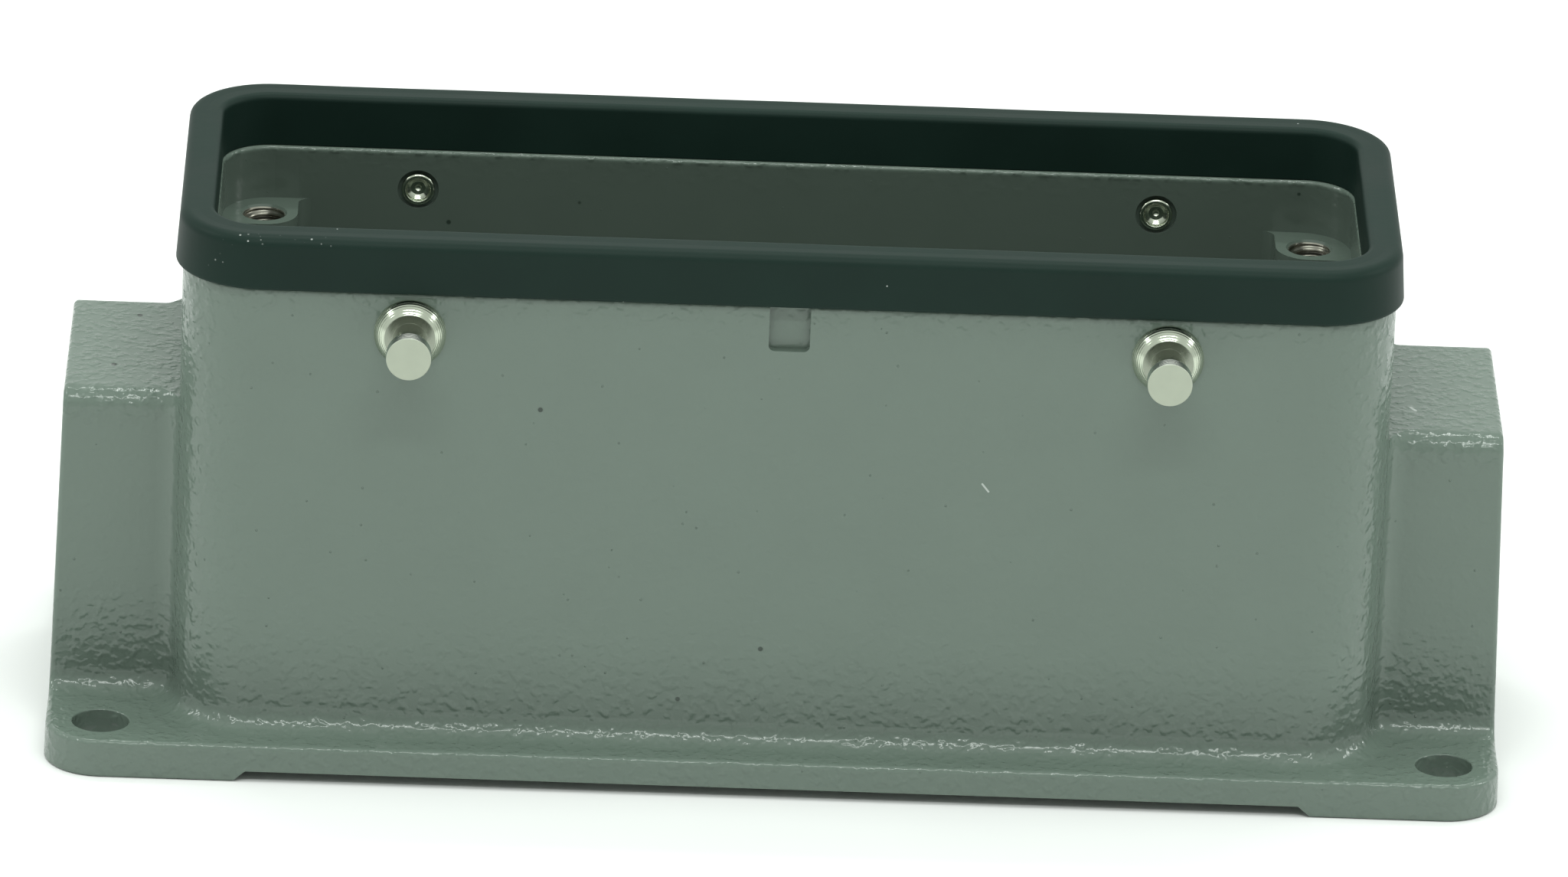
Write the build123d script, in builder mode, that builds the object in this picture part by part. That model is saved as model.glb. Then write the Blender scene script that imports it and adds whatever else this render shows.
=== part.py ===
from build123d import *
from math import asin, atan, degrees
import os

os.makedirs("parts", exist_ok=True)

# Millimetres. X runs along the length, Y across it, +Z up towards the mating face.
# The origin is the centre of the mounting face, on the surface that the base is screwed to.

# Mounting flange
flange_length = 143.0
flange_width = 52.5
flange_thickness = 3.8
flange_corner_radius = 5.5
mounting_spacing_x = 132.0
mounting_spacing_y = 42.0
mounting_hole_radius = 2.8
mounting_hole_edge = 0.15
relief_height = 1.1
relief_top_length = 103.2
relief_foot_length = 105.8

# Tower: the tall rectangular body that the mating hood closes onto
tower_length = 118.4
tower_width = 43.0
tower_corner_radius = 8.0
rim_height = 50.0
rim_edge_radius = 0.4

# End blocks, which carry the cable entries
block_width = 25.9
block_height = 35.3
block_shoulder_radius = 1.9
end_lean = 0.9

# Radii left by the casting tool
root_radius = 2.3
outline_radius = 0.5
foot_radius = 0.3

# Cavity inside the tower
cavity_length = 112.2
cavity_width = 35.4
cavity_corner_radius = 5.0
floor_level = 4.6
floor_radius = 1.5

# Corner pillars that take the contact insert's fixing screws, thread M4
insert_spacing_x = 104.0
insert_spacing_y = 27.0
pillar_height = 44.5
pillar_radius = 3.35
pillar_root_radius = 1.2
insert_screw_radius = 2.0
insert_screw_depth = 9.0
insert_screw_chamfer = 0.3

# Cable entries, thread M20
entry_radius = 10.0
entry_height = 18.2
entry_chamfer = 0.8

# Locating notches under the rim
notch_width = 4.0
notch_depth = 0.9
notch_bottom = 45.3
notch_corner_radius = 0.6

# Rim rib, and the gasket that is pressed over it
rib_inset = 1.1
rib_width = 1.2
rib_height = 1.8
rib_corner_radius = tower_corner_radius - rib_inset
rib_gap = 0.05
gasket_height = 5.4
gasket_foot_length = 119.8
gasket_foot_width = 44.2
gasket_corner_radius = 8.5
gasket_lean = 0.4
gasket_opening_length = 112.4
gasket_opening_width = 35.8
gasket_opening_radius = 5.0
gasket_outer_radius = 1.0
gasket_inner_radius = 0.6
gasket_lip_radius = 0.3

# Locking pegs: a turned collar, neck and head outside, a dished rivet end inside
peg_spacing = 73.6
peg_height = 45.85
peg_reach = 6.9
collar_radius = 3.5
collar_lip = 0.2
collar_face_radius = 2.46
collar_thickness = 1.5
neck_radius = 1.65
head_radius = 2.18
head_thickness = 1.5
head_edge = 0.1
shank_radius = 1.5
shank_gap = 0.05
rivet_mouth_radius = 1.68
rivet_flare_length = 0.5
rivet_proud = 0.1
rivet_cup_radius = 1.3
rivet_cup_depth = 0.2
rivet_cup_floor = 0.7
seat_radius = 2.05
seat_depth = 0.6

# Sizes that follow from the ones above
wall_thickness = (tower_width - cavity_width) / 2
cavity_end = cavity_length / 2
cavity_side = cavity_width / 2
pillar_x = insert_spacing_x / 2
pillar_y = insert_spacing_y / 2
pillar_end_reach = cavity_end - pillar_x
pillar_side_reach = cavity_side - pillar_y
lean_angle = degrees(atan(end_lean / block_height))
outer_face = tower_width / 2
rib_length = tower_length - 2 * rib_inset
rib_span = tower_width - 2 * rib_inset
gasket_lean_angle = degrees(atan(gasket_lean / gasket_height))


def inside_opening(edge):
    """True for an edge of the gasket that borders its opening."""
    middle = edge.center()
    return (
        abs(middle.X) < gasket_opening_length / 2 + 0.01
        and abs(middle.Y) < gasket_opening_width / 2 + 0.01
    )


# Housing: one die casting of flange, end blocks, tower, floor and corner pillars

with BuildPart() as housing:
    # Mounting flange, its sides leaning in a little so that it leaves the mould
    with BuildSketch():
        RectangleRounded(flange_length, flange_width, flange_corner_radius)
    extrude(amount=flange_thickness, taper=lean_angle)

    # End blocks: one bar with round shoulders, run through the tower from end to end
    with BuildSketch(Plane.YZ.offset(-flange_length / 2)) as block_profile:
        with Locations((0, block_height / 2)):
            Rectangle(block_width, block_height)
        fillet(block_profile.vertices().group_by(Axis.Y)[-1], block_shoulder_radius)
    extrude(amount=flange_length)

    # Both ends lean in by the same angle as the flange's sides
    for side in (-1, 1):
        leaning_end = Plane(
            origin=(side * flange_length / 2, 0, 0),
            x_dir=(0, 1, 0),
            z_dir=(side * block_height, 0, end_lean),
        )
        split(bisect_by=leaning_end, keep=Keep.BOTTOM)

    # Tower
    with BuildSketch():
        RectangleRounded(tower_length, tower_width, tower_corner_radius)
    extrude(amount=rim_height)

    # Hollow radii where the tower and the end blocks rise from the flange and meet each other
    roots = housing.edges().filter_by_position(
        Axis.X, -flange_length / 2 + 1, flange_length / 2 - 1
    ).filter_by(
        lambda edge: abs(edge.center().Y) < outer_face + 0.1
        and edge.center().Z > flange_thickness - 0.1
        and edge.bounding_box().max.Z < block_height + 0.1
    )
    shoulder_lines = roots.filter_by(
        lambda edge: abs(edge.center().X) > tower_length / 2 + 1
        and edge.center().Z > flange_thickness + 1
    )
    fillet(roots - shoulder_lines, root_radius)

    # Small radius along the flange's upper edge and round both end faces
    end_faces = housing.faces().sort_by(Axis.X)
    end_outlines = (end_faces[0].edges() + end_faces[-1].edges()).filter_by(
        lambda edge: edge.center().Z > flange_thickness - 0.1
    )
    flange_rim = housing.edges().filter_by(
        lambda edge: abs(edge.center().Z - flange_thickness) < 0.01
        and abs(edge.center().Y) > outer_face + root_radius + 0.5
    )
    fillet(end_outlines + flange_rim, outline_radius)
    fillet(housing.edges().group_by(Axis.Z)[0], foot_radius)

    # The end blocks' tops run flat up to the tower, so the hollow radius ends at their height
    with BuildSketch(Plane.XY.offset(block_height)):
        Rectangle(flange_length, flange_width)
        RectangleRounded(tower_length, tower_width, tower_corner_radius, mode=Mode.SUBTRACT)
    extrude(amount=root_radius, mode=Mode.SUBTRACT)

    # Shallow relief across the underside, so that only the two ends touch the panel
    with BuildSketch(Plane.XZ.offset(-flange_width / 2)):
        with BuildLine():
            Polyline(
                (-relief_foot_length / 2, 0),
                (-relief_top_length / 2, relief_height),
                (relief_top_length / 2, relief_height),
                (relief_foot_length / 2, 0),
                close=True,
            )
        make_face()
    extrude(amount=flange_width, mode=Mode.SUBTRACT)

    # Cavity: full outline above the pillars, and between the pillars down to the floor
    with BuildSketch(Plane.XY.offset(pillar_height)):
        RectangleRounded(cavity_length, cavity_width, cavity_corner_radius)
    extrude(until=Until.LAST, mode=Mode.SUBTRACT)
    with BuildSketch(Plane.XY.offset(floor_level)) as lower_cavity:
        RectangleRounded(cavity_length, cavity_width, cavity_corner_radius)
        with BuildSketch(Plane.XY.offset(floor_level), mode=Mode.SUBTRACT):
            with Locations((pillar_x, pillar_y)):
                Circle(pillar_radius)
            with Locations((pillar_x, pillar_y - pillar_radius)):
                Rectangle(pillar_end_reach, pillar_side_reach + pillar_radius, align=Align.MIN)
            with Locations((pillar_x - pillar_radius, pillar_y)):
                Rectangle(pillar_end_reach + pillar_radius, pillar_side_reach, align=Align.MIN)
            mirror(about=Plane.YZ)
            mirror(about=Plane.XZ)
        pillar_roots = lower_cavity.vertices().filter_by(
            lambda corner: abs(abs(corner.X) - cavity_end) < 0.01
            or abs(abs(corner.Y) - cavity_side) < 0.01
        )
        fillet(pillar_roots, pillar_root_radius)
    extrude(amount=pillar_height - floor_level, mode=Mode.SUBTRACT)
    floor_edges = housing.edges().filter_by(
        lambda edge: abs(edge.center().Z - floor_level) < 0.01
        and abs(edge.center().Y) < cavity_side + 0.1
        and abs(edge.center().X) < cavity_end + 0.1
    )
    fillet(floor_edges, floor_radius)

    # Rim with soft edges, and the upright rib that the gasket grips
    rim_edges = housing.edges().filter_by(
        lambda edge: edge.bounding_box().min.Z > rim_height - 0.01
    )
    fillet(rim_edges, rim_edge_radius)
    with BuildSketch(Plane.XY.offset(rim_height)):
        RectangleRounded(rib_length, rib_span, rib_corner_radius)
        RectangleRounded(
            rib_length - 2 * rib_width,
            rib_span - 2 * rib_width,
            rib_corner_radius - rib_width,
            mode=Mode.SUBTRACT,
        )
    extrude(amount=rib_height)

    # Locating notch under the rim, in the middle of each long side
    for side in (-1, 1):
        with BuildSketch(Plane.XZ.offset(-side * outer_face)) as notch:
            with Locations((0, (notch_bottom + rim_height) / 2)):
                Rectangle(notch_width, rim_height - notch_bottom)
            fillet(notch.vertices().group_by(Axis.Y)[0], notch_corner_radius)
        extrude(amount=side * notch_depth, mode=Mode.SUBTRACT)

    # Bores for the locking pegs, each with a seat inside for the rivet end
    for side in (-1, 1):
        with BuildSketch(Plane.XZ.offset(-side * outer_face)):
            with Locations((-peg_spacing / 2, peg_height), (peg_spacing / 2, peg_height)):
                Circle(shank_radius + shank_gap)
        extrude(amount=side * wall_thickness, mode=Mode.SUBTRACT)
        with BuildSketch(Plane.XZ.offset(-side * cavity_side)):
            with Locations((-peg_spacing / 2, peg_height), (peg_spacing / 2, peg_height)):
                Circle(seat_radius)
        extrude(amount=-side * seat_depth, mode=Mode.SUBTRACT)

    # Screw holes in the corner pillars
    with Locations(Plane.XY.offset(pillar_height)):
        with GridLocations(insert_spacing_x, insert_spacing_y, 2, 2):
            CounterSinkHole(
                insert_screw_radius,
                insert_screw_radius + insert_screw_chamfer,
                depth=insert_screw_depth,
                counter_sink_angle=90,
            )

    # Cable entries, one through each end block into the cavity
    for side in (-1, 1):
        with BuildSketch(Plane.YZ.offset(side * cavity_end)):
            with Locations((0, entry_height)):
                Circle(entry_radius)
        extrude(amount=side * (flange_length / 2 - cavity_end), mode=Mode.SUBTRACT)
    entry_mouths = housing.edges().filter_by(GeomType.ELLIPSE).filter_by(
        lambda edge: abs(edge.center().Z - entry_height) < 0.1
    )
    chamfer(entry_mouths, entry_chamfer)

    # Mounting holes
    with BuildSketch():
        with GridLocations(mounting_spacing_x, mounting_spacing_y, 2, 2):
            Circle(mounting_hole_radius)
    extrude(amount=flange_thickness, mode=Mode.SUBTRACT)
    hole_mouths = housing.edges().filter_by(GeomType.CIRCLE).filter_by(
        lambda edge: abs(edge.center().Z - flange_thickness) < 0.01
        and abs(edge.radius - mounting_hole_radius) < 0.01
    )
    fillet(hole_mouths, mounting_hole_edge)

housing.part.label = "housing"
export_step(housing.part, "parts/housing.step")


# Gasket: one moulded rubber ring, its outer side flaring out towards the lip over the tower

with BuildPart() as rim_gasket:
    with BuildSketch(Plane.XY.offset(rim_height)):
        RectangleRounded(gasket_foot_length, gasket_foot_width, gasket_corner_radius)
    extrude(amount=gasket_height, taper=gasket_lean_angle)
    with BuildSketch(Plane.XY.offset(rim_height)):
        RectangleRounded(gasket_opening_length, gasket_opening_width, gasket_opening_radius)
    extrude(amount=gasket_height, mode=Mode.SUBTRACT)

    top_edges = rim_gasket.edges().group_by(Axis.Z)[-1]
    outer_top = top_edges.filter_by(lambda edge: not inside_opening(edge))
    fillet(outer_top, gasket_outer_radius)
    inner_top = rim_gasket.edges().group_by(Axis.Z)[-1].filter_by(inside_opening)
    fillet(inner_top, gasket_inner_radius)
    lip = rim_gasket.edges().group_by(Axis.Z)[0].filter_by(lambda edge: not inside_opening(edge))
    fillet(lip, gasket_lip_radius)

    # Groove that the rib presses into
    with BuildSketch(Plane.XY.offset(rim_height)):
        RectangleRounded(
            rib_length + 2 * rib_gap, rib_span + 2 * rib_gap, rib_corner_radius + rib_gap
        )
        RectangleRounded(
            rib_length - 2 * rib_width - 2 * rib_gap,
            rib_span - 2 * rib_width - 2 * rib_gap,
            rib_corner_radius - rib_width - rib_gap,
            mode=Mode.SUBTRACT,
        )
    extrude(amount=rib_height + rib_gap, mode=Mode.SUBTRACT)

rim_gasket.part.label = "rim_gasket"
export_step(rim_gasket.part, "parts/rim_gasket.step")


# Locking pegs: turned steel, pushed through the wall and riveted over inside, where each ends in
# a shallow dish

rivet_end = -(wall_thickness + rivet_proud)
bowl_rise = rivet_cup_floor - rivet_cup_depth
bowl_radius = (rivet_cup_radius**2 + bowl_rise**2) / (2 * bowl_rise)
bowl_centre = rivet_end + rivet_cup_floor - bowl_radius
bowl_start = degrees(asin((bowl_radius - bowl_rise) / bowl_radius))
for side_name, y_side in (("front", -1), ("rear", 1)):
    for end_name, x_side in (("left", -1), ("right", 1)):
        peg_axis = Axis((x_side * peg_spacing / 2, y_side * outer_face, peg_height), (0, y_side, 0))
        with BuildPart() as locking_peg:
            with BuildSketch(Plane(peg_axis.position, x_dir=(1, 0, 0), z_dir=(0, 0, y_side))):
                with BuildLine():
                    Polyline(
                        (0, peg_reach),
                        (head_radius - head_edge, peg_reach),
                        (head_radius, peg_reach - head_edge),
                        (head_radius, peg_reach - head_thickness),
                        (neck_radius, peg_reach - head_thickness),
                        (neck_radius, collar_thickness),
                        (collar_face_radius, collar_thickness),
                        (collar_radius, collar_lip),
                        (collar_radius, 0),
                        (shank_radius, 0),
                        (shank_radius, rivet_end + rivet_flare_length),
                        (rivet_mouth_radius, rivet_end),
                        (rivet_cup_radius, rivet_end),
                        (rivet_cup_radius, rivet_end + rivet_cup_depth),
                    )
                    CenterArc((0, bowl_centre), bowl_radius, bowl_start, 90 - bowl_start)
                    Line((0, rivet_end + rivet_cup_floor), (0, peg_reach))
                make_face()
            revolve(axis=peg_axis)
        peg_name = f"locking_peg_{side_name}_{end_name}"
        locking_peg.part.label = peg_name
        export_step(locking_peg.part, f"parts/{peg_name}.step")
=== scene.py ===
import bmesh
import bpy
import numpy as np
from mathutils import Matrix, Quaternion, Vector


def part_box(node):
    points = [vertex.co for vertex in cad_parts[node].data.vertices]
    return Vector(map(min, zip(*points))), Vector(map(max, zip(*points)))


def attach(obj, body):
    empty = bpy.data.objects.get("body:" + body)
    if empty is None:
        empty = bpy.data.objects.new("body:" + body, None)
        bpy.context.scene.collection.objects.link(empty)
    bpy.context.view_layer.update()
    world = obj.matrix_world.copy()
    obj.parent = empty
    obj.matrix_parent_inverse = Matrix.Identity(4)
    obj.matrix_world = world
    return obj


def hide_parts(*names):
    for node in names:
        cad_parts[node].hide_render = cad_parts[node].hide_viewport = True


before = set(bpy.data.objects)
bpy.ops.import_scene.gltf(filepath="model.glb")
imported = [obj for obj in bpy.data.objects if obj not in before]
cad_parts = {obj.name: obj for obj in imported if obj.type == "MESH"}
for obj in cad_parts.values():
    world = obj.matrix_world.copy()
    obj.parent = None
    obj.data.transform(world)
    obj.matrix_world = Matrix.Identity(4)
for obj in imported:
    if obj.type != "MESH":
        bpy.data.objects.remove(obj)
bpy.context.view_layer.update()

MM = 0.001

# ---------------------------------------------------------------------------------------------
# Housing. One aluminium die casting, sprayed all over with a green-grey structured paint whose
# skin is pebbled like fine leather. The screw threads and the cable entries' mouths are cut
# after painting, so they are bare metal.
# ---------------------------------------------------------------------------------------------


class Shade:
    """A value or colour on its way through a material's nodes. Sums on values add Math nodes."""

    def __init__(self, tree, socket=None):
        self.tree = tree
        self.socket = socket

    def node(self, kind, settings=None, sockets=None, output=0):
        """Adds one node: first its settings, then the values or links of its sockets."""
        made = self.tree.nodes.new(kind)
        for name, setting in (settings or {}).items():
            setattr(made, name, setting)
        for name, value in (sockets or {}).items():
            if isinstance(value, Shade):
                self.tree.links.new(value.socket, made.inputs[name])
            else:
                made.inputs[name].default_value = value
        return Shade(self.tree, made.outputs[output] if made.outputs else None)

    def sibling(self, output):
        """Another output of the node that this value comes from."""
        return Shade(self.tree, self.socket.node.outputs[output])

    def maths(self, operation, *values):
        return self.node("ShaderNodeMath", {"operation": operation}, dict(enumerate(values)))

    def vector(self, operation, *values, output=0):
        return self.node(
            "ShaderNodeVectorMath", {"operation": operation}, dict(enumerate(values)), output
        )

    def __add__(self, other):
        return self.maths("ADD", self, other)

    def __sub__(self, other):
        return self.maths("SUBTRACT", self, other)

    def __rsub__(self, other):
        return self.maths("SUBTRACT", other, self)

    def __mul__(self, other):
        return self.maths("MULTIPLY", self, other)

    __radd__ = __add__
    __rmul__ = __mul__

    def step(self, low, high):
        """0 where the value is at low, 1 where it is at high, with a soft change between."""
        return self.node(
            "ShaderNodeMapRange",
            {"interpolation_type": "SMOOTHSTEP"},
            {"Value": self, "From Min": low, "From Max": high},
        )

    def mix(self, first, second):
        """The first colour where this value is 0, and the second where it is 1."""
        return self.node("ShaderNodeMix", {"data_type": "RGBA"}, {0: self, 6: first, 7: second}, 2)

    def tint(self, colour):
        """The colour, multiplied by this value."""
        return self.node(
            "ShaderNodeMix",
            {"data_type": "RGBA", "blend_type": "MULTIPLY"},
            {0: 1.0, 6: colour, 7: self},
            2,
        )


def begin_material(name):
    """An empty material, and the object's own coordinates for its pattern."""
    material = bpy.data.materials.new(name)
    material.use_nodes = True
    material.node_tree.nodes.clear()
    place = Shade(material.node_tree).node("ShaderNodeTexCoord", output="Object")
    return material, place


def end_material(place, colour, roughness, metallic, height, depth, **constants):
    """Closes a material with a Principled shader. The height runs over 0 to 1, depth in metres."""
    normal = place.node("ShaderNodeBump", {}, {"Distance": depth, "Height": height})
    surface = place.node(
        "ShaderNodeBsdfPrincipled",
        {},
        {"Base Color": colour, "Roughness": roughness, "Metallic": metallic, "Normal": normal}
        | constants,
    )
    place.node("ShaderNodeOutputMaterial", {}, {"Surface": surface})


def noise(place, per_metre, detail=2.0, roughness=0.5):
    """Smooth noise from 0 to 1, with this many waves to the metre."""
    return place.node(
        "ShaderNodeTexNoise",
        {},
        {"Vector": place, "Scale": per_metre, "Detail": detail, "Roughness": roughness},
    )


def spots(place, per_metre, radius):
    """Sparse round spots: 1 within this radius of the points of a random lattice."""
    distance = place.node("ShaderNodeTexVoronoi", {}, {"Vector": place, "Scale": per_metre})
    return distance.step(radius * per_metre * 1.3, radius * per_metre * 0.7)


def near_line(place, start, end, radius):
    """1 along the straight mark from start to end, fading out at this radius."""
    start = Vector(start) * MM
    along = Vector(end) * MM - start
    offset = place.vector("SUBTRACT", place, start)
    share = offset.vector("DOT_PRODUCT", offset, along / along.length_squared, output="Value")
    share = share.node("ShaderNodeClamp", {}, {"Value": share})
    nearest = share.vector("MULTIPLY", share, along)
    distance = nearest.vector("DISTANCE", offset, nearest, output="Value")
    return distance.step(radius * MM, radius * MM * 0.5)


PAINT = (0.132, 0.175, 0.145, 1)
CHIP = (0.03, 0.045, 0.035, 1)
SCUFF = (0.42, 0.46, 0.43, 1)
ALLOY = (0.41, 0.40, 0.34, 1)
ENTRY_HEIGHT = 18.2 * MM
ENTRY_MOUTH = 10.8 * MM
INSERT_X = 52.0 * MM
INSERT_Y = 13.5 * MM
SCREW_RADIUS = 2.0 * MM
SCREW_BOTTOM = 35.5 * MM
CAVITY_END = 56.1 * MM
CAVITY_SIDE = 17.7 * MM
CAVITY_FLOOR = 4.6 * MM
FLANGE_TOP = 3.8 * MM
RIM_HEIGHT = 50.0 * MM
PEBBLES_PER_METRE = 1150
PIMPLES_PER_METRE = 430
GRAINS_PER_METRE = 4200
PATCHES_PER_METRE = 160
CHIPS_PER_METRE = 125
SKIN_DEPTH = 0.09 * MM

# Marks from handling, each as its start, its end and its radius in millimetres
WALL_SCUFF = ((19.36, -21.5, 32.14), (19.99, -21.5, 31.36), 0.12)
BLOCK_SCUFF = ((61.75, -5.4, 35.3), (62.2, -6.2, 35.3), 0.2)
BLOCK_CHIPS = (
    ((-63.89, 7.67, 35.3), (-63.89, 7.87, 35.3), 0.35),
    ((-65.93, -5.73, 35.3), (-65.93, -5.53, 35.3), 0.35),
)

paint, place = begin_material("structured_paint")
axes = place.node("ShaderNodeSeparateXYZ", {}, {"Vector": place}, "X")
x = axes.maths("ABSOLUTE", axes)
y = axes.maths("ABSOLUTE", axes.sibling("Y"))
z = axes.sibling("Z")


def from_centre(first, first_centre, second, second_centre):
    """The distance from an axis that two coordinates give."""
    a = first - first_centre
    b = second - second_centre
    return first.maths("SQRT", a * a + b * b)


# Bare metal in the cable entries and in the insert screw holes
bare_entry = from_centre(y, 0.0, z, ENTRY_HEIGHT)
bare_entry = bare_entry.step(ENTRY_MOUTH + 0.04 * MM, ENTRY_MOUTH - 0.02 * MM)
bare_entry = bare_entry * x.step(CAVITY_END + 0.2 * MM, CAVITY_END + 0.9 * MM)
bare_screw = from_centre(x, INSERT_X, y, INSERT_Y)
bare_screw = bare_screw.step(SCREW_RADIUS + 0.12 * MM, SCREW_RADIUS + 0.05 * MM)
bare_screw = bare_screw * z.step(SCREW_BOTTOM - 0.5 * MM, SCREW_BOTTOM - 0.3 * MM)
bare = bare_entry.maths("MAXIMUM", bare_entry, bare_screw)

# The paint is smoother on the tower's long sides and on the end blocks' sides
upright = x.step(58 * MM, 50 * MM) * z.step(8 * MM, 18 * MM)
upright = upright * z.step(RIM_HEIGHT - 0.6 * MM, RIM_HEIGHT - 4 * MM)
block_side = y.step(11.8 * MM, 12.4 * MM) * z.step(9 * MM, 17 * MM) * z.step(33.2 * MM, 31 * MM)
block_side = block_side * x.step(58 * MM, 61 * MM)
smooth = upright.maths("MAXIMUM", upright, block_side)

# Painted shade: darker in the cavity and towards the foot of the walls. Smoother in the cavity.
inside = x.step(CAVITY_END + 0.3 * MM, CAVITY_END + 0.1 * MM)
inside = inside * y.step(CAVITY_SIDE + 0.3 * MM, CAVITY_SIDE + 0.1 * MM)
inside = inside * z.step(CAVITY_FLOOR - 0.6 * MM, CAVITY_FLOOR - 0.2 * MM)
inside = inside * z.step(RIM_HEIGHT - 0.3 * MM, RIM_HEIGHT - 0.7 * MM)
foot = z.step(15 * MM, 6 * MM) * z.step(FLANGE_TOP + 0.4 * MM, FLANGE_TOP + 1.6 * MM)

pebbles = noise(place, PEBBLES_PER_METRE, 1.2, 0.4).step(0.40, 0.80)
pimples = spots(place, PIMPLES_PER_METRE, 0.1 * MM)
grain = noise(place, GRAINS_PER_METRE, 2.0)
skin_height = pebbles * (1 - smooth * 0.7) + pimples * 0.9 + grain * 0.12
mottle_and_shade = noise(place, PATCHES_PER_METRE, 3.0) * 0.08 + 0.96
# The random mottle, with the painted shade of the cavity and the wall foot multiplied in
mottle_and_shade = mottle_and_shade * (1 - inside * 0.3) * (1 - foot * 0.16)
scuffs = near_line(place, *WALL_SCUFF)
scuffs = scuffs.maths("MAXIMUM", scuffs, near_line(place, *BLOCK_SCUFF))
chips = spots(place, CHIPS_PER_METRE, 0.25 * MM)
for chip in BLOCK_CHIPS:
    chips = chips.maths("MAXIMUM", chips, near_line(place, *chip))
skin = chips.mix(scuffs.mix(mottle_and_shade.tint(PAINT), SCUFF), CHIP)
end_material(
    place,
    colour=bare.mix(skin, ALLOY),
    roughness=grain * 0.06 + 0.14,
    metallic=bare,
    height=skin_height * (1 - bare) * (1 - inside * 0.8),
    depth=SKIN_DEPTH,
)
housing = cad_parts["housing"]
housing.data.materials[0] = paint


# ---------------------------------------------------------------------------------------------
# Insert screw threads. M4, tapped into the four corner pillars after painting, for the screws
# that hold the contact insert down.
# ---------------------------------------------------------------------------------------------


def grid_mesh(name, points, material):
    """A mesh from rows of points. Each row is a closed ring, and the last row joins the first.
    Rings that shrink to one point are merged into a pole."""
    rows, columns = points.shape[:2]
    row, column = np.meshgrid(np.arange(rows), np.arange(columns), indexing="ij")
    next_row = (row + 1) % rows
    next_column = (column + 1) % columns
    corners = np.stack(
        [
            row * columns + column,
            row * columns + next_column,
            next_row * columns + next_column,
            next_row * columns + column,
        ],
        axis=-1,
    ).reshape(-1, 4)
    mesh = bpy.data.meshes.new(name)
    mesh.from_pydata(points.reshape(-1, 3), [], corners)
    mesh.materials.append(material)
    shape = bmesh.new()
    shape.from_mesh(mesh)
    bmesh.ops.remove_doubles(shape, verts=shape.verts, dist=1e-7)
    loose = [edge for edge in shape.edges if not edge.link_faces]
    bmesh.ops.delete(shape, geom=loose, context="EDGES")
    bmesh.ops.recalc_face_normals(shape, faces=shape.faces)
    shape.to_mesh(mesh)
    shape.free()
    mesh.shade_smooth()
    piece = bpy.data.objects.new(name, mesh)
    bpy.context.scene.collection.objects.link(piece)
    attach(piece, "root")
    return piece


def thread_sleeve(major, minor, pitch, length, step_count, column_count):
    """The skin of a tapped hole, as radius and depth on a grid of depth by angle. The radius is
    the minor radius on the crests and rises at 60 degrees to the major radius, and the crests
    move on by one pitch a turn. They fade in over the first turn. The back of the skin is a
    plain cylinder just outside the major radius."""
    depth = np.linspace(0, length, step_count)[:, None]
    angle = np.linspace(0, 2 * np.pi, column_count, endpoint=False)[None, :]
    phase = (depth / pitch - angle / (2 * np.pi)) % 1
    from_crest = np.abs(phase - 0.5) * pitch
    rise = np.clip((from_crest - pitch / 8) * np.sqrt(3), 0, major - minor)
    fade = np.clip(depth / pitch, 0, 1) * np.clip((length - depth) / pitch, 0, 1)
    radius = major - (major - minor - rise) * fade
    back = np.full((2, column_count), major + 0.1 * MM)
    radius = np.concatenate([radius, back])
    depth = np.broadcast_to(depth, (step_count, column_count))
    back_depth = np.array([[length], [0.0]]) * np.ones((1, column_count))
    depth = np.concatenate([depth, back_depth])
    return radius, depth, np.broadcast_to(angle, depth.shape)


CUTTER_MARKS_PER_METRE = 2500
CUTTER_MARK_DEPTH = 0.006 * MM
thread_metal, place = begin_material("machined_thread")
cutter_marks = noise(place, CUTTER_MARKS_PER_METRE, 3.0)
end_material(
    place,
    colour=(cutter_marks * 0.12 + 0.64).tint(ALLOY),
    roughness=cutter_marks * 0.14 + 0.24,
    metallic=1.0,
    height=cutter_marks,
    depth=CUTTER_MARK_DEPTH,
)

SCREW_TOP = 44.2 * MM
SCREW_MAJOR = 1.995 * MM
SCREW_MINOR = 1.62 * MM
SCREW_PITCH = 0.7 * MM
SCREW_LENGTH = 8.6 * MM
radius, depth, angle = thread_sleeve(
    SCREW_MAJOR, SCREW_MINOR, SCREW_PITCH, SCREW_LENGTH, step_count=190, column_count=48
)
for x_side, x_name in ((-1, "left"), (1, "right")):
    for y_side, y_name in ((-1, "front"), (1, "rear")):
        points = np.stack(
            [
                x_side * INSERT_X + radius * np.cos(angle),
                y_side * INSERT_Y + radius * np.sin(angle),
                SCREW_TOP - depth,
            ],
            axis=-1,
        )
        piece = grid_mesh(f"insert_thread_{y_name}_{x_name}", points, thread_metal)


# ---------------------------------------------------------------------------------------------
# Cable entry threads. M20, tapped through each end block into the cavity, for a cable gland or
# a blanking plug.
# ---------------------------------------------------------------------------------------------

ENTRY_OUTER = 70.1 * MM
ENTRY_MAJOR = 9.99 * MM
ENTRY_MINOR = 9.19 * MM
ENTRY_PITCH = 1.5 * MM
ENTRY_LENGTH = 13.9 * MM
radius, depth, angle = thread_sleeve(
    ENTRY_MAJOR, ENTRY_MINOR, ENTRY_PITCH, ENTRY_LENGTH, step_count=190, column_count=120
)
for x_side, x_name in ((-1, "left"), (1, "right")):
    points = np.stack(
        [
            x_side * (ENTRY_OUTER - depth),
            radius * np.cos(angle),
            ENTRY_HEIGHT + radius * np.sin(angle),
        ],
        axis=-1,
    )
    piece = grid_mesh(f"cable_entry_thread_{x_name}", points, thread_metal)


# ---------------------------------------------------------------------------------------------
# Rim gasket. One ring of black rubber, moulded with soft edges and pressed down over the rib
# on the rim. It is a little dusty, mostly at the front left corner.
# ---------------------------------------------------------------------------------------------


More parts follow.
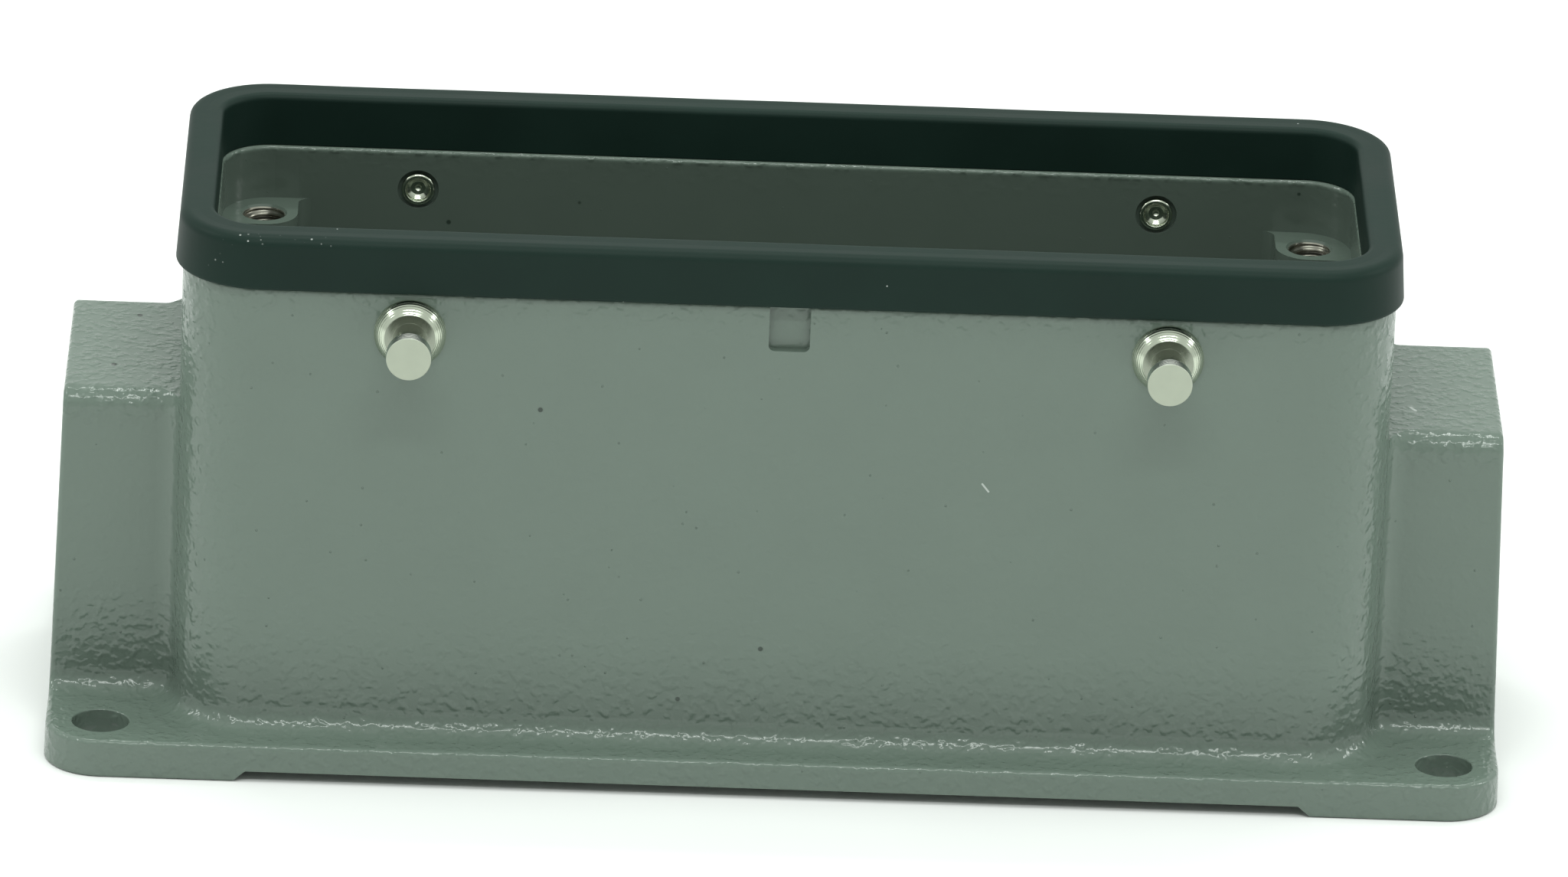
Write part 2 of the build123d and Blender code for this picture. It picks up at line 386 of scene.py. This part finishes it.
def soft_outline(corners, closed, arc_steps=7, guard=0.15):
    """A run of points through corners given as (across, up, radius). Each corner is cut by two
    tangent points and an arc between them, and a guard point stands on each side of the arc, so
    that the flat stretches shade flat."""
    corner_list = np.array(corners, float)
    run = []
    for index, (across, up, radius) in enumerate(corner_list):
        here = np.array([across, up])
        if not closed and index in (0, len(corner_list) - 1):
            run.append(here[None])
            continue
        before = corner_list[index - 1, :2] - here
        after = corner_list[(index + 1) % len(corner_list), :2] - here
        before /= np.linalg.norm(before)
        after /= np.linalg.norm(after)
        half_turn = np.arccos(np.clip(before @ after, -1, 1)) / 2
        tangent = radius / np.tan(half_turn)
        bisector = (before + after) / np.linalg.norm(before + after)
        middle = here + bisector * radius / np.sin(half_turn)
        first = here + before * tangent - middle
        last = here + after * tangent - middle
        sweep = np.pi - 2 * half_turn
        share = np.linspace(0, 1, arc_steps)[:, None]
        arc = np.sin((1 - share) * sweep) * first + np.sin(share * sweep) * last
        arc = middle + arc / np.sin(sweep)
        reach = tangent + guard * radius
        run += [(here + before * reach)[None], arc, (here + after * reach)[None]]
    return np.concatenate(run)


GASKET_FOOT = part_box("rim_gasket")[0][2]
GASKET_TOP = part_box("rim_gasket")[1][2]
WALL = 3.95
UP = (GASKET_TOP - GASKET_FOOT) / MM
GROOVE_OUTER = 2.75
GROOVE_INNER = 1.45
GROOVE_TOP = 1.85
section = soft_outline(
    [
        (0.0, 0.0, 0.12),
        (0.0, UP, 0.6),
        (1.7, UP - 0.05, 0.8),
        (WALL - 0.4, UP, 1.0),
        (WALL, 0.0, 0.3),
        (GROOVE_OUTER, 0.0, 0.1),
        (GROOVE_OUTER, GROOVE_TOP, 0.1),
        (GROOVE_INNER, GROOVE_TOP, 0.1),
        (GROOVE_INNER, 0.0, 0.1),
    ],
    closed=True,
)
share = section[:, :1] / WALL

# Half length, half width and corner radius of the opening, and what the foot's outer edge adds
OPENING = (56.2, 17.9, 5.0)
SPREAD = (3.7, 4.2, 3.5)
half_length = (OPENING[0] + SPREAD[0] * share) * MM
half_width = (OPENING[1] + SPREAD[1] * share) * MM
corner = (OPENING[2] + SPREAD[2] * share) * MM

CORNER_STEPS = 20
LONG_STEPS = 60
SHORT_STEPS = 20


def stations():
    """Where a ring's columns stand: the direction from the corner's centre, and the centre's own
    place, from -1 to 1 each way. Along a corner the direction turns by a quarter, and along a
    side the centre moves to the next corner."""
    turn = []
    centre = []
    corners = [(1, 1), (-1, 1), (-1, -1), (1, -1)]
    for quarter in range(4):
        here = np.array(corners[quarter], float)
        there = np.array(corners[(quarter + 1) % 4], float)
        arc = np.linspace(0, 1, CORNER_STEPS, endpoint=False)
        turn.append((quarter + arc) * np.pi / 2)
        centre.append(np.repeat(here[None], CORNER_STEPS, 0))
        count = LONG_STEPS if quarter % 2 == 0 else SHORT_STEPS
        side = np.linspace(0, 1, count, endpoint=False)
        turn.append(np.full(count, (quarter + 1) * np.pi / 2))
        centre.append(here + (there - here) * side[:, None])
    return np.concatenate(turn), np.concatenate(centre)


turn, centre = stations()
around_x = centre[:, 0] * (half_length - corner) + corner * np.cos(turn)
around_y = centre[:, 1] * (half_width - corner) + corner * np.sin(turn)
height = section[:, 1:] / UP

# Soft rubber doesn't lie quite straight: its top wavers a little, and its foot stays in place
WAVER_DEPTH = 0.03 * MM
waver = WAVER_DEPTH * height * (np.sin(around_x * 190) * np.cos(around_y * 260 + 1))
points = np.stack(
    [
        around_x,
        around_y + waver,
        GASKET_FOOT + height * (GASKET_TOP - GASKET_FOOT) - np.abs(waver) * 0.6,
    ],
    axis=-1,
)

RUBBER = (0.0075, 0.0208, 0.0158, 1)
DUST = (0.45, 0.48, 0.46, 1)
RUBBER_GRAINS_PER_METRE = 900
RUBBER_SKIN_DEPTH = 0.012 * MM
rubber, place = begin_material("gasket_rubber")
skin = noise(place, RUBBER_GRAINS_PER_METRE, 3.0)
bloom = noise(place, 90, 3.0)
crumbs = spots(place, 1500, 0.1 * MM) * noise(place, 700).step(0.46, 0.60)
along_edge = near_line(place, (-56.0, -21.6, 55.0), (-45.5, -21.9, 54.9), 1.3)
at_corner = near_line(place, (-57.2, -20.6, 51.0), (-55.2, -21.6, 53.0), 0.9)
dust = crumbs * along_edge.maths("MAXIMUM", along_edge, at_corner)
dust = dust.maths("MAXIMUM", dust, spots(place, 190, 0.08 * MM))
end_material(
    place,
    colour=(dust * 0.8).mix((bloom * 0.5 + 0.75).tint(RUBBER), DUST),
    roughness=bloom * 0.16 + 0.42 + dust * 0.2,
    metallic=0.0,
    height=skin,
    depth=RUBBER_SKIN_DEPTH,
    **{"Specular IOR Level": 0.16},
)
gasket = grid_mesh("moulded_gasket", points, rubber)
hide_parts("rim_gasket")


# ---------------------------------------------------------------------------------------------
# Locking pegs. Turned from bright steel bar: a coned collar against the wall, a thin neck for
# the lever's hook and a round head. The shank is pushed through the wall and riveted over inside,
# where it ends in a shallow dish.
# ---------------------------------------------------------------------------------------------

PEG_X = 36.8
PEG_Z = 45.85
OUTER_FACE = 21.5
REACH = 6.9
HEAD_RADIUS = 2.18
HEAD_BACK = 5.4
NECK_RADIUS = 1.65
COLLAR_RADIUS = 3.5
COLLAR_FACE_RADIUS = 2.46
COLLAR_FACE = 1.5
SHANK_RADIUS = 1.5

# Half of the peg's outline, as across, out from the wall and corner radius: head, neck, collar,
# shank and rivet end
peg_outline = [
    (0.0, REACH, 0.0),
    (HEAD_RADIUS, REACH, 0.1),
    (HEAD_RADIUS, HEAD_BACK, 0.06),
    (NECK_RADIUS, HEAD_BACK, 0.03),
    (NECK_RADIUS, COLLAR_FACE, 0.02),
    (COLLAR_FACE_RADIUS, COLLAR_FACE, 0.05),
    (COLLAR_RADIUS, 0.2, 0.04),
    (COLLAR_RADIUS, 0.0, 0.04),
    (SHANK_RADIUS, 0.0, 0.04),
    (SHANK_RADIUS, -3.3, 0.05),
    (1.66, -3.5, 0.08),
    (1.63, -3.9, 0.25),
    (1.25, -3.9, 0.1),
    (1.13, -3.6, 0.15),
    (0.72, -3.32, 0.3),
    (0.34, -3.24, 0.1),
    (0.0, -2.98, 0.0),
]
profile = soft_outline(peg_outline, closed=False)


def turned_stretch(profile, start, rings, depth, bulge=0.0):
    """The profile with one straight stretch, from the point nearest to start, made to bulge by
    half a sine wave and cut into fine rings by a sine wave of this depth, both square to it."""
    index = np.argmin(np.hypot(*(profile - start).T))
    first, last = profile[index], profile[index + 1]
    share = np.linspace(0, 1, rings * 10 + 1)[1:-1, None]
    square = np.array([last[1] - first[1], first[0] - last[0]]) / np.hypot(*(last - first))
    wave = bulge * np.sin(share * np.pi) + depth * np.sin(share * rings * 2 * np.pi)
    cut = first + (last - first) * share + wave * square
    return np.concatenate([profile[: index + 1], cut, profile[index + 1 :]])


cone_start = (COLLAR_FACE_RADIUS + 0.03, COLLAR_FACE - 0.04)
head_start = (HEAD_RADIUS, REACH - 0.12)
profile = turned_stretch(profile, cone_start, rings=6, depth=-0.005, bulge=-0.1)
profile = turned_stretch(profile, head_start, rings=5, depth=0.015)
angle = np.linspace(0, 2 * np.pi, 128, endpoint=False)

STEEL = (0.55, 0.60, 0.49, 1)
# Painted highlight: a lighter steel for the head's side
HEAD_SIDE_HIGHLIGHT = (0.84, 0.86, 0.80, 1)
CROPPED = (0.43, 0.47, 0.38, 1)
steel, place = begin_material("turned_steel")
axes = place.node("ShaderNodeSeparateXYZ", {}, {"Vector": place}, "X")
x = axes.maths("ABSOLUTE", axes)
y = axes.maths("ABSOLUTE", axes.sibling("Y"))
z = axes.sibling("Z")
spread = from_centre(x, PEG_X * MM, z, PEG_Z * MM)
end_face = y.step((OUTER_FACE + REACH - 0.08) * MM, (OUTER_FACE + REACH - 0.03) * MM)
head_side = y.step((OUTER_FACE + HEAD_BACK) * MM, (OUTER_FACE + HEAD_BACK + 0.1) * MM)

# Painted shade: darker from the collar's face to the back of the head, and darker in the dish
neck_shade = y.step((OUTER_FACE + COLLAR_FACE - 0.04) * MM, (OUTER_FACE + COLLAR_FACE - 0.01) * MM)
neck_shade = neck_shade * y.step((OUTER_FACE + HEAD_BACK + 0.1) * MM, (OUTER_FACE + HEAD_BACK - 0.1) * MM)
TOOL_MARK_PITCH = 0.06 * MM
TOOL_MARK_DEPTH = 0.0008 * MM
rings = spread.maths("SINE", spread * (2 * np.pi / TOOL_MARK_PITCH))
dish_shade = y.step((OUTER_FACE - 3.3) * MM, (OUTER_FACE - 3.6) * MM)
dish_shade = dish_shade * spread.step(1.3 * MM, 1.2 * MM)
stain = noise(place, 700, 3.0)
end_material(
    place,
    colour=((stain * 0.14 + 0.93) * (1 - neck_shade * 0.5) * (1 - dish_shade * 0.35)).tint(
        end_face.mix(head_side.mix(STEEL, HEAD_SIDE_HIGHLIGHT), CROPPED)
    ),
    roughness=end_face * 0.34 + stain * 0.08 + 0.16,
    metallic=1 - end_face * 0.6,
    height=rings * 0.5 + 0.5,
    depth=TOOL_MARK_DEPTH,
)
for y_side, y_name in ((-1, "front"), (1, "rear")):
    for x_side, x_name in ((-1, "left"), (1, "right")):
        across = profile[:, :1] * MM
        out = profile[:, 1:] * MM
        points = np.stack(
            [
                x_side * PEG_X * MM + across * np.cos(angle),
                np.broadcast_to(y_side * (OUTER_FACE * MM + out), across.shape[:1] + angle.shape),
                PEG_Z * MM + across * np.sin(angle),
            ],
            axis=-1,
        )
        peg = grid_mesh(f"turned_peg_{y_name}_{x_name}", points, steel)
        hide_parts(f"locking_peg_{y_name}_{x_name}")


# ---------------------------------------------------------------------------------------------
# Floor, card and lights. A wide sheet of matt white board, a soft even light from all round, two
# long strip lights and a softbox overhead, one small soft light at each side, a faint light
# behind and a dark card in front.
# ---------------------------------------------------------------------------------------------

STUDIO_TINT = np.array([0.95, 1.0, 0.962])
AMBIENT_STRENGTH = 0.77
BOARD_WHITE = (0.88, 0.88, 0.88, 1)
CARD_GREY = (0.085, 0.08, 0.075, 1)
CARD_CORNERS = [(-0.9, -0.45, 0.1), (0.9, -0.45, 0.1), (0.9, -0.95, 0.8), (-0.9, -0.95, 0.8)]
FLOOR_REACH = 12.0
FLOOR_DROP = -0.00002
OBJECT_MIDDLE = Vector((0, 0, 0.025))


def sheet_mesh(name, corners, material):
    """A flat sheet through four corners."""
    mesh = bpy.data.meshes.new(name)
    mesh.from_pydata(corners, [], [(0, 1, 2, 3)])
    mesh.materials.append(material)
    piece = bpy.data.objects.new(name, mesh)
    bpy.context.scene.collection.objects.link(piece)
    return piece


board, place = begin_material("white_board")
end_material(
    place,
    colour=(noise(place, 30, 2.0) * 0.01 + 0.99).tint(BOARD_WHITE),
    roughness=0.9,
    metallic=0.0,
    height=noise(place, 900, 2.0),
    depth=0.00001,
)
sheet_mesh(
    "floor",
    [
        (-FLOOR_REACH, -FLOOR_REACH, FLOOR_DROP),
        (FLOOR_REACH, -FLOOR_REACH, FLOOR_DROP),
        (FLOOR_REACH, FLOOR_REACH, FLOOR_DROP),
        (-FLOOR_REACH, FLOOR_REACH, FLOOR_DROP),
    ],
    board,
)

dark_card, place = begin_material("dark_card")
end_material(
    place,
    colour=(noise(place, 5, 2.0) * 0.1 + 0.95).tint(CARD_GREY),
    roughness=0.9,
    metallic=0.0,
    height=noise(place, 900, 2.0),
    depth=0.00001,
)
card = sheet_mesh("front_card", CARD_CORNERS, dark_card)
card.visible_camera = False
card.visible_glossy = False
card.visible_shadow = False

world = bpy.data.worlds.new("studio")
bpy.context.scene.world = world
world.use_nodes = True
backdrop = world.node_tree.nodes["Background"]
backdrop.inputs["Color"].default_value = (*STUDIO_TINT, 1)
backdrop.inputs["Strength"].default_value = AMBIENT_STRENGTH


def soft_light(name, azimuth, elevation, width, height, radiance, mirrored=True):
    """A flat light one metre from the object's middle, facing it. Azimuth 0 is in front. One
    that isn't mirrored lights the object without showing in its gloss."""
    turn, rise = np.radians([azimuth, elevation])
    direction = Vector((np.sin(turn) * np.cos(rise), -np.cos(turn) * np.cos(rise), np.sin(rise)))
    lamp = bpy.data.lights.new(name, "AREA")
    lamp.shape = "RECTANGLE"
    lamp.size = width
    lamp.size_y = height
    lamp.energy = radiance * np.pi * width * height
    lamp.color = STUDIO_TINT
    light = bpy.data.objects.new(name, lamp)
    light.location = direction + OBJECT_MIDDLE
    light.rotation_euler = direction.to_track_quat("Z", "Y").to_euler()
    light.visible_camera = False
    light.visible_glossy = mirrored
    bpy.context.scene.collection.objects.link(light)


# Azimuth and elevation in degrees, width and height in metres, then brightness
soft_light("front_strip", 3, 54, 0.70, 0.05, 24)
soft_light("rear_strip", 177, 72, 0.70, 0.05, 24)
soft_light("overhead_softbox", 0, 82, 1.0, 0.6, 2.05, mirrored=False)
soft_light("background_light", 180, 20, 1.6, 0.5, 0.1)
soft_light("left_light", -90, 37, 0.22, 0.16, 12)
soft_light("right_light", 90, 30, 0.22, 0.16, 12)


# ---------------------------------------------------------------------------------------------
# Camera. A long lens, slightly above the front of the housing.
# ---------------------------------------------------------------------------------------------

AZIMUTH = -1.139
ELEVATION = 21.861
ROLL = 2.371
AIM = Vector((0.000293, 0.0, 0.027589))
DISTANCE = 1.36847
FOCAL_LENGTH = 317.43
azimuth, elevation, roll = np.radians([AZIMUTH, ELEVATION, ROLL])
back = Vector(
    (np.sin(azimuth) * np.cos(elevation), -np.cos(azimuth) * np.cos(elevation), np.sin(elevation))
)
lens = bpy.data.cameras.new("camera")
lens.sensor_width = 36
lens.lens = FOCAL_LENGTH
lens.clip_start = 0.05
lens.clip_end = 100
camera = bpy.data.objects.new("camera", lens)
camera.location = AIM + back * DISTANCE
camera.rotation_euler = (back.to_track_quat("Z", "Y") @ Quaternion((0, 0, 1), roll)).to_euler()
bpy.context.scene.collection.objects.link(camera)
bpy.context.scene.camera = camera
bpy.context.scene.view_settings.view_transform = "Standard"
